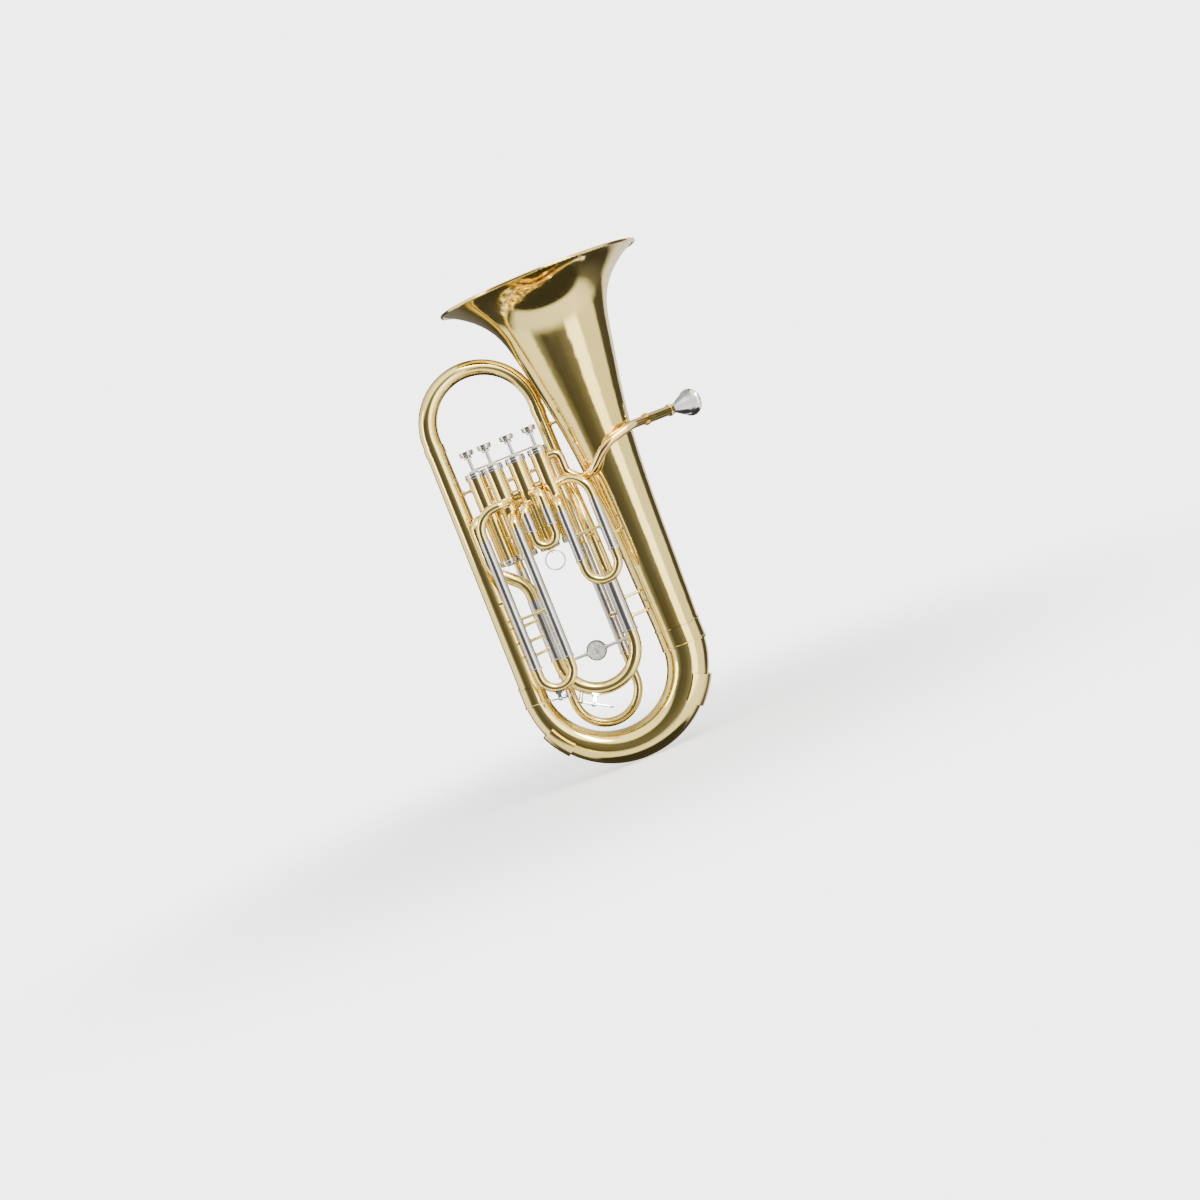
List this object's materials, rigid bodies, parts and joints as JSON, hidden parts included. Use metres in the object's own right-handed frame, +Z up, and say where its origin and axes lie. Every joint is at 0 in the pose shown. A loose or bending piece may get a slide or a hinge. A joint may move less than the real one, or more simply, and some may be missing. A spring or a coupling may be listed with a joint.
{
  "type": "euphonium",
  "caption": "Upright conical brass instrument with top-action piston valves, pull-out tuning slides, water keys and a deep-cup mouthpiece.",
  "frame": {"origin": "lowest point of the bow guard, under the centre of the bottom bow", "axes": "+Z up along the bell, +X from the valves towards the bell, -Y the side that the valve slides face"},
  "size_m": [0.3816, 0.2816, 0.656],
  "materials": {
    "lacquered_brass": "polished and lacquered",
    "nickel_silver": "polished",
    "silver_plate": "mirror polished",
    "nickel_alloy": "honed",
    "spring_steel": "drawn",
    "felt": "pressed"
  },
  "bodies": {
    "horn": {"bell": "lacquered_brass", "bell_ferrule": "lacquered_brass", "bell_rim_bead": "lacquered_brass", "bottom_bow": "lacquered_brass", "bottom_caps": "nickel_silver", "bow_guard": "lacquered_brass", "branch_ferrule": "lacquered_brass", "cap_felts": "felt", "inner_branch": "lacquered_brass", "leadpipe": "lacquered_brass", "loop_ferrule_inner": "lacquered_brass", "loop_ferrule_outer": "lacquered_brass", "mouthpiece_receiver": "lacquered_brass", "outer_branch": "lacquered_brass", "outlet_pipe": "lacquered_brass", "slide_1_sleeves": "nickel_silver", "slide_1_tubing": "lacquered_brass", "slide_2_sleeves": "nickel_silver", "slide_2_tubing": "lacquered_brass", "slide_3_sleeves": "nickel_silver", "slide_3_tubing": "lacquered_brass", "slide_4_sleeves": "nickel_silver", "slide_4_tubing": "lacquered_brass", "stays": "lacquered_brass", "top_bow": "lacquered_brass", "top_caps": "nickel_silver", "tuning_sleeves": "nickel_silver", "valve_casing_1": "lacquered_brass", "valve_casing_2": "lacquered_brass", "valve_casing_3": "lacquered_brass", "valve_casing_4": "lacquered_brass", "valve_links": "lacquered_brass", "valve_spring_1": "spring_steel", "valve_spring_2": "spring_steel", "valve_spring_3": "spring_steel", "valve_spring_4": "spring_steel"},
    "valve_1": {"piston_1": "nickel_alloy", "stem_1": "nickel_silver", "finger_button_1": "nickel_silver"},
    "valve_2": {"piston_2": "nickel_alloy", "stem_2": "nickel_silver", "finger_button_2": "nickel_silver"},
    "valve_3": {"piston_3": "nickel_alloy", "stem_3": "nickel_silver", "finger_button_3": "nickel_silver"},
    "valve_4": {"piston_4": "nickel_alloy", "stem_4": "nickel_silver", "finger_button_4": "nickel_silver"},
    "first_slide": {"slide_1": "lacquered_brass"},
    "second_slide": {"slide_2": "lacquered_brass"},
    "third_slide": {"slide_3": "lacquered_brass", "third_water_key_saddle": "nickel_silver"},
    "fourth_slide": {"slide_4": "lacquered_brass"},
    "main_slide": {"tuning_slide": "lacquered_brass", "tuning_stay": "nickel_silver", "tuning_water_key_saddle": "nickel_silver"},
    "tuning_key": {"tuning_water_key": "nickel_silver"},
    "third_key": {"third_water_key": "nickel_silver"},
    "ring": {"pull_ring": "nickel_silver"},
    "mouthpiece": {"mouthpiece": "silver_plate"}
  },
  "joints": [
    {"name": "valve_1_stroke", "type": "slide", "parent": "horn", "child": "valve_1", "axis": [0, 0, -1], "range_m": [0, 0.016], "stiffness_N_per_m": 70, "springref_m": -0.03, "deforming": ["valve_spring_1"]},
    {"name": "valve_2_stroke", "type": "slide", "parent": "horn", "child": "valve_2", "axis": [0, 0, -1], "range_m": [0, 0.016], "stiffness_N_per_m": 70, "springref_m": -0.03, "deforming": ["valve_spring_2"]},
    {"name": "valve_3_stroke", "type": "slide", "parent": "horn", "child": "valve_3", "axis": [0, 0, -1], "range_m": [0, 0.016], "stiffness_N_per_m": 70, "springref_m": -0.03, "deforming": ["valve_spring_3"]},
    {"name": "valve_4_stroke", "type": "slide", "parent": "horn", "child": "valve_4", "axis": [0, 0, -1], "range_m": [0, 0.016], "stiffness_N_per_m": 70, "springref_m": -0.03, "deforming": ["valve_spring_4"]},
    {"name": "first_slide_pull", "type": "slide", "parent": "horn", "child": "first_slide", "axis": [0, 0, -1], "range_m": [0, 0.06]},
    {"name": "second_slide_pull", "type": "slide", "parent": "horn", "child": "second_slide", "axis": [0, 0, -1], "range_m": [0, 0.018]},
    {"name": "third_slide_pull", "type": "slide", "parent": "horn", "child": "third_slide", "axis": [0, 0, -1], "range_m": [0, 0.15]},
    {"name": "fourth_slide_pull", "type": "slide", "parent": "horn", "child": "fourth_slide", "axis": [0, 0, -1], "range_m": [0, 0.12]},
    {"name": "tuning_slide_pull", "type": "slide", "parent": "horn", "child": "main_slide", "axis": [0, 0, -1], "range_m": [0, 0.045]},
    {"name": "tuning_key_lift", "type": "hinge", "parent": "main_slide", "child": "tuning_key", "pos_m": [-0.03611, -0.03225, 0.09685], "axis": [0.2113, -0.9063, 0.366], "range_deg": [0, 14], "stiffness_Nm_per_rad": 0.03, "springref_deg": -28.65},
    {"name": "third_key_lift", "type": "hinge", "parent": "third_slide", "child": "third_key", "pos_m": [-0.07466, -0.049, 0.12248], "axis": [0, 1, 0], "range_deg": [0, 16], "stiffness_Nm_per_rad": 0.02, "springref_deg": -28.65},
    {"name": "pull_ring_swing", "type": "hinge", "parent": "second_slide", "child": "ring", "pos_m": [-0.0115, -0.049, 0.30943], "axis": [1, 0, 0], "range_deg": [-75, 75]},
    {"name": "mouthpiece_pull", "type": "slide", "parent": "horn", "child": "mouthpiece", "axis": [0.6428, 0.766, 0], "range_m": [0, 0.03]}
  ]
}
